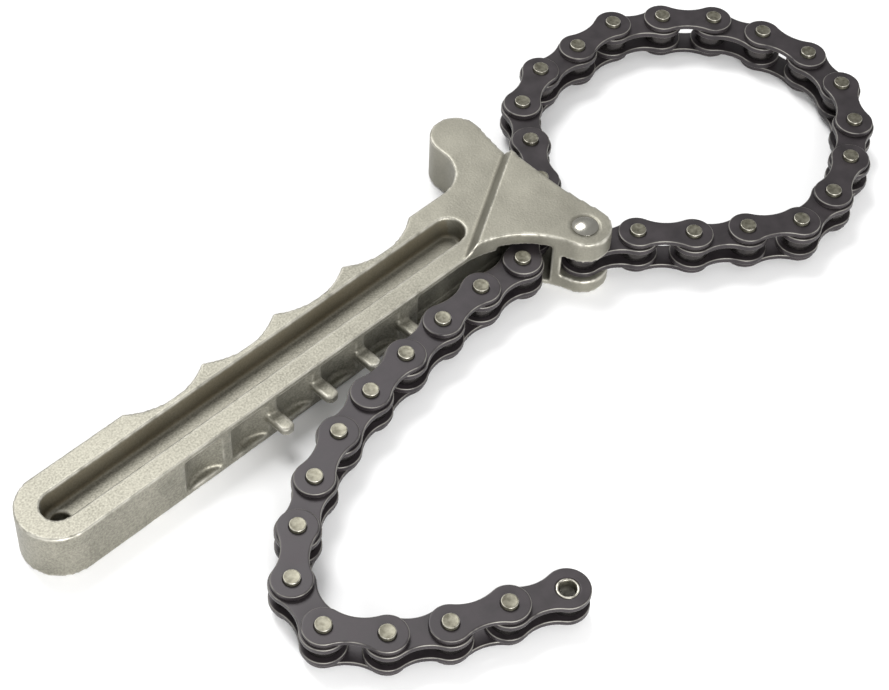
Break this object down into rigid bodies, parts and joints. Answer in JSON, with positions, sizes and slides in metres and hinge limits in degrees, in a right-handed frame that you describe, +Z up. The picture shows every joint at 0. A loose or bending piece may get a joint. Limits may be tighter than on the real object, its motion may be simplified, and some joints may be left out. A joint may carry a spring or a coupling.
{
  "type": "chain oil filter wrench",
  "caption": "Oil filter wrench with a die-cast handle and a roller chain that loops round the filter and back through the head.",
  "frame": {"origin": "on the axis of the rivet that anchors the chain, at the underside of the casting, which is the surface the tool lies on", "axes": "+X from the handle towards the loop, along the bar; +Y towards the finger scallops; +Z up through the thickness of the bar, out of its open pocket"},
  "size_m": [0.2324, 0.1168, 0.0168],
  "materials": {
    "cast_handle": "satin, as die cast",
    "rivet_steel": "polished",
    "inner_link_steel": "dark oiled satin",
    "outer_plate_steel": "dark oiled satin",
    "pin_steel": "bare oiled steel"
  },
  "bodies": {
    "handle": {"handle_casting": "cast_handle", "anchor_rivet": "rivet_steel"},
    "link_00": {"inner_link_00": "inner_link_steel"},
    "link_01": {"outer_plates_01": "outer_plate_steel", "link_pins_01": "pin_steel"},
    "link_02": {"inner_link_02": "inner_link_steel"},
    "link_03": {"outer_plates_03": "outer_plate_steel", "link_pins_03": "pin_steel"},
    "link_04": {"inner_link_04": "inner_link_steel"},
    "link_05": {"outer_plates_05": "outer_plate_steel", "link_pins_05": "pin_steel"},
    "link_06": {"inner_link_06": "inner_link_steel"},
    "link_07": {"outer_plates_07": "outer_plate_steel", "link_pins_07": "pin_steel"},
    "link_08": {"inner_link_08": "inner_link_steel"},
    "link_09": {"outer_plates_09": "outer_plate_steel", "link_pins_09": "pin_steel"},
    "link_10": {"inner_link_10": "inner_link_steel"},
    "link_11": {"outer_plates_11": "outer_plate_steel", "link_pins_11": "pin_steel"},
    "link_12": {"inner_link_12": "inner_link_steel"},
    "link_13": {"outer_plates_13": "outer_plate_steel", "link_pins_13": "pin_steel"},
    "link_14": {"inner_link_14": "inner_link_steel"},
    "link_15": {"outer_plates_15": "outer_plate_steel", "link_pins_15": "pin_steel"},
    "link_16": {"inner_link_16": "inner_link_steel"},
    "link_17": {"outer_plates_17": "outer_plate_steel", "link_pins_17": "pin_steel"},
    "link_18": {"inner_link_18": "inner_link_steel"},
    "link_19": {"outer_plates_19": "outer_plate_steel", "link_pins_19": "pin_steel"},
    "link_20": {"inner_link_20": "inner_link_steel"},
    "link_21": {"outer_plates_21": "outer_plate_steel", "link_pins_21": "pin_steel"},
    "link_22": {"inner_link_22": "inner_link_steel"},
    "link_23": {"outer_plates_23": "outer_plate_steel", "link_pins_23": "pin_steel"},
    "link_24": {"inner_link_24": "inner_link_steel"},
    "link_25": {"outer_plates_25": "outer_plate_steel", "link_pins_25": "pin_steel"},
    "link_26": {"inner_link_26": "inner_link_steel"},
    "link_27": {"outer_plates_27": "outer_plate_steel", "link_pins_27": "pin_steel"},
    "link_28": {"inner_link_28": "inner_link_steel"},
    "link_29": {"outer_plates_29": "outer_plate_steel", "link_pins_29": "pin_steel"},
    "link_30": {"inner_link_30": "inner_link_steel"},
    "link_31": {"outer_plates_31": "outer_plate_steel", "link_pins_31": "pin_steel"},
    "link_32": {"inner_link_32": "inner_link_steel"}
  },
  "joints": [
    {"name": "pivot_00", "type": "hinge", "parent": "handle", "child": "link_00", "pos_m": [0, 0, 0.007], "axis": [0.0191, 0, 0.9998], "range_deg": [-12, 12]},
    {"name": "pivot_01", "type": "hinge", "parent": "link_00", "child": "link_01", "pos_m": [0.01088, -0.00654, 0.00679], "axis": [0.0191, 0, 0.9998], "range_deg": [-24, 24]},
    {"name": "pivot_02", "type": "hinge", "parent": "link_01", "child": "link_02", "pos_m": [0.02002, -0.01536, 0.00662], "axis": [0.0191, 0, 0.9998], "range_deg": [-12, 12]},
    {"name": "pivot_03", "type": "hinge", "parent": "link_02", "child": "link_03", "pos_m": [0.03054, -0.02246, 0.00642], "axis": [0.0191, 0, 0.9998], "range_deg": [-10, 10]},
    {"name": "pivot_04", "type": "hinge", "parent": "link_03", "child": "link_04", "pos_m": [0.04119, -0.02938, 0.00621], "axis": [0.0191, 0, 0.9998], "range_deg": [-10, 10]},
    {"name": "pivot_05", "type": "hinge", "parent": "link_04", "child": "link_05", "pos_m": [0.05386, -0.0285, 0.00597], "axis": [0.0191, 0, 0.9998], "range_deg": [-10, 10]},
    {"name": "pivot_06", "type": "hinge", "parent": "link_05", "child": "link_06", "pos_m": [0.06572, -0.02394, 0.00574], "axis": [0.0191, 0, 0.9998], "range_deg": [-10, 10]},
    {"name": "pivot_07", "type": "hinge", "parent": "link_06", "child": "link_07", "pos_m": [0.07612, -0.01666, 0.00555], "axis": [0.0191, 0, 0.9998], "range_deg": [-10, 10]},
    {"name": "pivot_08", "type": "hinge", "parent": "link_07", "child": "link_08", "pos_m": [0.08376, -0.00652, 0.0054], "axis": [0.0191, 0, 0.9998], "range_deg": [-10, 10]},
    {"name": "pivot_09", "type": "hinge", "parent": "link_08", "child": "link_09", "pos_m": [0.08618, 0.00595, 0.00535], "axis": [0.0191, 0, 0.9998], "range_deg": [-10, 10]},
    {"name": "pivot_10", "type": "hinge", "parent": "link_09", "child": "link_10", "pos_m": [0.08376, 0.01842, 0.0054], "axis": [0.0191, 0, 0.9998], "range_deg": [-10, 10]},
    {"name": "pivot_11", "type": "hinge", "parent": "link_10", "child": "link_11", "pos_m": [0.07859, 0.03002, 0.0055], "axis": [0.0191, 0, 0.9998], "range_deg": [-12, 12]},
    {"name": "pivot_12", "type": "hinge", "parent": "link_11", "child": "link_12", "pos_m": [0.06946, 0.03884, 0.00567], "axis": [0.0191, 0, 0.9998], "range_deg": [-24, 24]},
    {"name": "pivot_13", "type": "hinge", "parent": "link_12", "child": "link_13", "pos_m": [0.05858, 0.04538, 0.00588], "axis": [0.0191, 0, 0.9998], "range_deg": [-12, 12]},
    {"name": "pivot_14", "type": "hinge", "parent": "link_13", "child": "link_14", "pos_m": [0.04588, 0.04538, 0.00612], "axis": [0.0191, 0, 0.9998], "range_deg": [-10, 10]},
    {"name": "pivot_15", "type": "hinge", "parent": "link_14", "child": "link_15", "pos_m": [0.03318, 0.04561, 0.00637], "axis": [0.0191, 0, 0.9998], "range_deg": [-10, 10]},
    {"name": "pivot_16", "type": "hinge", "parent": "link_15", "child": "link_16", "pos_m": [0.02158, 0.04045, 0.00659], "axis": [0.0191, 0, 0.9998], "range_deg": [-10, 10]},
    {"name": "pivot_17", "type": "hinge", "parent": "link_16", "child": "link_17", "pos_m": [0.01394, 0.0303, 0.00673], "axis": [0.0191, 0, 0.9998], "range_deg": [-20, 20]},
    {"name": "pivot_18", "type": "hinge", "parent": "link_17", "child": "link_18", "pos_m": [0.00656, 0.01997, 0.00687], "axis": [0.0191, 0, 0.9998], "range_deg": [-10, 10]},
    {"name": "pivot_19", "type": "hinge", "parent": "link_18", "child": "link_19", "pos_m": [-0.00385, 0.01269, 0.00694], "axis": [0.0014, -0.0111, 0.9999], "range_deg": [0, 1.5]},
    {"name": "pivot_20", "type": "hinge", "parent": "link_19", "child": "link_20", "pos_m": [-0.01425, 0.0054, 0.00687], "axis": [0.0014, -0.0111, 0.9999], "range_deg": [0, 20]},
    {"name": "pivot_21", "type": "hinge", "parent": "link_20", "child": "link_21", "pos_m": [-0.02694, 0.00585, 0.00679], "axis": [0.0074, 0.0167, -0.9998], "range_deg": [-20, 0]},
    {"name": "pivot_22", "type": "hinge", "parent": "link_21", "child": "link_22", "pos_m": [-0.03961, 0.00496, 0.00668], "axis": [-0.0074, -0.0167, 0.9998], "range_deg": [-6, 30]},
    {"name": "pivot_23", "type": "hinge", "parent": "link_22", "child": "link_23", "pos_m": [-0.05222, 0.00342, 0.00656], "axis": [0.0074, 0.0167, -0.9998], "range_deg": [-30, 14]},
    {"name": "pivot_24", "type": "hinge", "parent": "link_23", "child": "link_24", "pos_m": [-0.06472, 0.00121, 0.00643], "axis": [-0.0074, -0.0167, 0.9998], "range_deg": [-30, 40]},
    {"name": "pivot_25", "type": "hinge", "parent": "link_24", "child": "link_25", "pos_m": [-0.07699, -0.00207, 0.00628], "axis": [0.0074, 0.0167, -0.9998], "range_deg": [-40, 40]},
    {"name": "pivot_26", "type": "hinge", "parent": "link_25", "child": "link_26", "pos_m": [-0.08859, -0.00724, 0.00611], "axis": [-0.0074, -0.0167, 0.9998], "range_deg": [-40, 40]},
    {"name": "pivot_27", "type": "hinge", "parent": "link_26", "child": "link_27", "pos_m": [-0.09936, -0.01397, 0.00592], "axis": [0.0074, 0.0167, -0.9998], "range_deg": [-40, 40]},
    {"name": "pivot_28", "type": "hinge", "parent": "link_27", "child": "link_28", "pos_m": [-0.10872, -0.02255, 0.0057], "axis": [-0.0074, -0.0167, 0.9998], "range_deg": [-40, 40]},
    {"name": "pivot_29", "type": "hinge", "parent": "link_28", "child": "link_29", "pos_m": [-0.11158, -0.03492, 0.00548], "axis": [0.0074, 0.0167, -0.9998], "range_deg": [-40, 40]},
    {"name": "pivot_30", "type": "hinge", "parent": "link_29", "child": "link_30", "pos_m": [-0.10359, -0.04479, 0.00537], "axis": [-0.0074, -0.0167, 0.9998], "range_deg": [-40, 40]},
    {"name": "pivot_31", "type": "hinge", "parent": "link_30", "child": "link_31", "pos_m": [-0.09282, -0.05152, 0.00534], "axis": [0.0074, 0.0167, -0.9998], "range_deg": [-40, 40]},
    {"name": "pivot_32", "type": "hinge", "parent": "link_31", "child": "link_32", "pos_m": [-0.08104, -0.05627, 0.00535], "axis": [-0.0074, -0.0167, 0.9998], "range_deg": [-40, 40]}
  ],
  "couplings": [
    {"joint": "pivot_01", "follows": "pivot_00", "ratio": -2},
    {"joint": "pivot_02", "follows": "pivot_00", "ratio": 1},
    {"joint": "pivot_04", "follows": "pivot_03", "ratio": -1},
    {"joint": "pivot_05", "follows": "pivot_03", "ratio": 1},
    {"joint": "pivot_06", "follows": "pivot_03", "ratio": -1},
    {"joint": "pivot_07", "follows": "pivot_03", "ratio": -1},
    {"joint": "pivot_08", "follows": "pivot_03", "ratio": 1},
    {"joint": "pivot_09", "follows": "pivot_03", "ratio": 1},
    {"joint": "pivot_10", "follows": "pivot_03", "ratio": -1},
    {"joint": "pivot_11", "follows": "pivot_00", "ratio": -1},
    {"joint": "pivot_12", "follows": "pivot_00", "ratio": 2},
    {"joint": "pivot_13", "follows": "pivot_00", "ratio": -1},
    {"joint": "pivot_14", "follows": "pivot_03", "ratio": 1},
    {"joint": "pivot_15", "follows": "pivot_03", "ratio": -1},
    {"joint": "pivot_16", "follows": "pivot_03", "ratio": -1},
    {"joint": "pivot_17", "follows": "pivot_03", "ratio": 2},
    {"joint": "pivot_18", "follows": "pivot_03", "ratio": -1}
  ]
}
